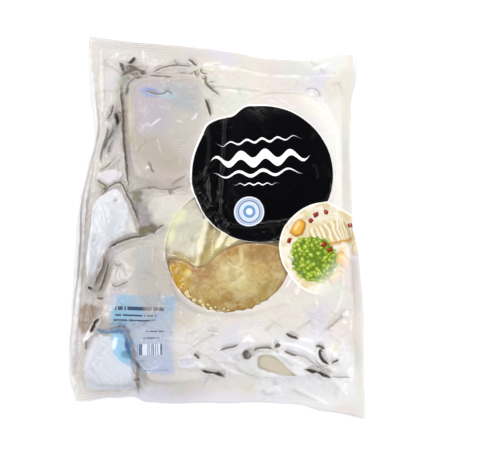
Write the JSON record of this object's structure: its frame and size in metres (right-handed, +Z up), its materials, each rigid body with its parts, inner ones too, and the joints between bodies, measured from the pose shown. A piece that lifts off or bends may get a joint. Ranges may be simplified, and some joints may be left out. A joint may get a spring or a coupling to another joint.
{
  "type": "sealed bag of lutefisk",
  "caption": "Flat, sealed film bag of soaked white fish portions in brine, lying with its printed front up; the film hugs each portion.",
  "frame": {"origin": "on the surface that the bag lies on, in the middle of its outline", "axes": "+X to the right across the bag as its print is read, +Y towards its top seal, +Z up out of the printed front"},
  "size_m": [0.2598, 0.355, 0.0228],
  "materials": {
    "film": "milky, soft gloss laminate film, creased where it is drawn over the fish",
    "fish": "wet, translucent, flaky soaked cod",
    "brine": "thin, slightly yellow soaking liquid"
  },
  "bodies": {
    "root": {"bag": "film"}
  },
  "joints": []
}
